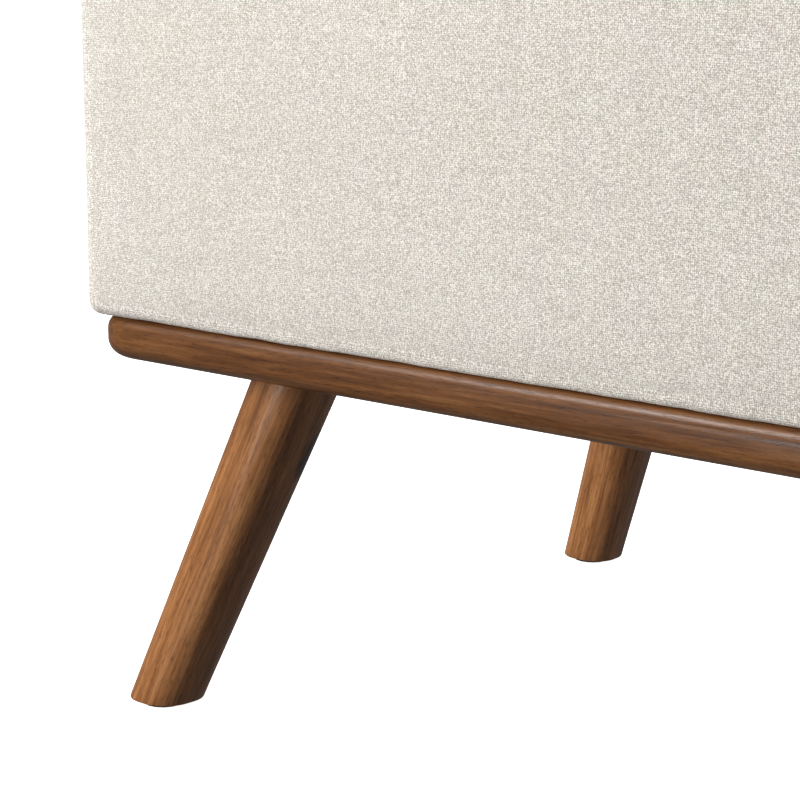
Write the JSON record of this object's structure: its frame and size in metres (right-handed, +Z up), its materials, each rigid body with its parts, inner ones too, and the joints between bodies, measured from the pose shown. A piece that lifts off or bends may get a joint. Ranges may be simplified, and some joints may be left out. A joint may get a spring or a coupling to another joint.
{
  "type": "storage ottoman",
  "caption": "Storage ottoman: fabric box with a hinged, padded lid on soft-close stays, standing on a rounded walnut rail base with splayed, tapered legs.",
  "frame": {"origin": "on the floor, below the middle of the whole object, hinge barrels included", "axes": "+X to the right along the ottoman's length, -Y to the front, +Y to the hinged side, +Z up"},
  "size_m": [0.61, 0.422, 0.46],
  "materials": {
    "cream_fabric": "matte",
    "walnut_wood": "satin",
    "plywood": "matte",
    "foam": "matte",
    "grey_lining": "matte",
    "black_cloth": "matte",
    "zinc_steel": "satin",
    "black_plastic": "matte",
    "clear_rubber": "satin"
  },
  "bodies": {
    "box": {"front_rail": "walnut_wood", "right_rail": "walnut_wood", "rear_rail": "walnut_wood", "left_rail": "walnut_wood", "leg_front_left": "walnut_wood", "leg_front_right": "walnut_wood", "leg_rear_left": "walnut_wood", "leg_rear_right": "walnut_wood", "leg_bolt_front_left": "zinc_steel", "leg_bolt_front_right": "zinc_steel", "leg_bolt_rear_left": "zinc_steel", "leg_bolt_rear_right": "zinc_steel", "leg_nut_front_left": "zinc_steel", "leg_nut_front_right": "zinc_steel", "leg_nut_rear_left": "zinc_steel", "leg_nut_rear_right": "zinc_steel", "foot_glide_front_left": "black_plastic", "foot_glide_front_right": "black_plastic", "foot_glide_rear_left": "black_plastic", "foot_glide_rear_right": "black_plastic", "box_floor": "plywood", "front_panel": "plywood", "rear_panel": "plywood", "left_panel": "plywood", "right_panel": "plywood", "corner_block_front_left": "plywood", "corner_block_front_right": "plywood", "corner_block_rear_left": "plywood", "corner_block_rear_right": "plywood", "box_padding": "foam", "box_cover": "cream_fabric", "box_lining": "grey_lining", "dust_cover": "black_cloth", "hinge_box_leaf_left": "zinc_steel", "hinge_pin_left": "zinc_steel", "stay_arm_pin_left": "zinc_steel", "stay_housing_left": "black_plastic", "lid_bumper_left": "clear_rubber", "hinge_box_leaf_right": "zinc_steel", "hinge_pin_right": "zinc_steel", "stay_arm_pin_right": "zinc_steel", "stay_housing_right": "black_plastic", "lid_bumper_right": "clear_rubber"},
    "lid": {"lid_board": "plywood", "lid_foam": "foam", "lid_cover": "cream_fabric", "lid_lining": "grey_lining", "hinge_lid_leaf_left": "zinc_steel", "stay_bracket_left": "zinc_steel", "stay_lid_pin_left": "zinc_steel", "hinge_lid_leaf_right": "zinc_steel", "stay_bracket_right": "zinc_steel", "stay_lid_pin_right": "zinc_steel"},
    "stay_arm_left": {"stay_arm_left": "zinc_steel", "stay_knee_rivet_left": "zinc_steel"},
    "stay_arm_right": {"stay_arm_right": "zinc_steel", "stay_knee_rivet_right": "zinc_steel"},
    "stay_link_left": {"stay_link_left": "zinc_steel"},
    "stay_link_right": {"stay_link_right": "zinc_steel"}
  },
  "joints": [
    {"name": "lid_hinge", "type": "hinge", "parent": "box", "child": "lid", "pos_m": [0, 0.208, 0.3895], "axis": [-1, 0, 0], "range_deg": [0, 95]},
    {"name": "stay_arm_left_pivot", "type": "hinge", "parent": "box", "child": "stay_arm_left", "pos_m": [-0.273, 0.142, 0.3095], "axis": [-1, 0, 0], "range_deg": [0, 95]},
    {"name": "stay_knee_left", "type": "hinge", "parent": "stay_arm_left", "child": "stay_link_left", "pos_m": [-0.273, -0.008, 0.2965], "axis": [-1, 0, 0], "range_deg": [-95, 0]},
    {"name": "stay_arm_right_pivot", "type": "hinge", "parent": "box", "child": "stay_arm_right", "pos_m": [0.273, 0.142, 0.3095], "axis": [-1, 0, 0], "range_deg": [0, 95]},
    {"name": "stay_knee_right", "type": "hinge", "parent": "stay_arm_right", "child": "stay_link_right", "pos_m": [0.273, -0.008, 0.2965], "axis": [-1, 0, 0], "range_deg": [-95, 0]}
  ],
  "couplings": [
    {"joint": "stay_arm_left_pivot", "follows": "lid_hinge", "ratio": 1},
    {"joint": "stay_knee_left", "follows": "lid_hinge", "ratio": -1},
    {"joint": "stay_arm_right_pivot", "follows": "lid_hinge", "ratio": 1},
    {"joint": "stay_knee_right", "follows": "lid_hinge", "ratio": -1}
  ]
}
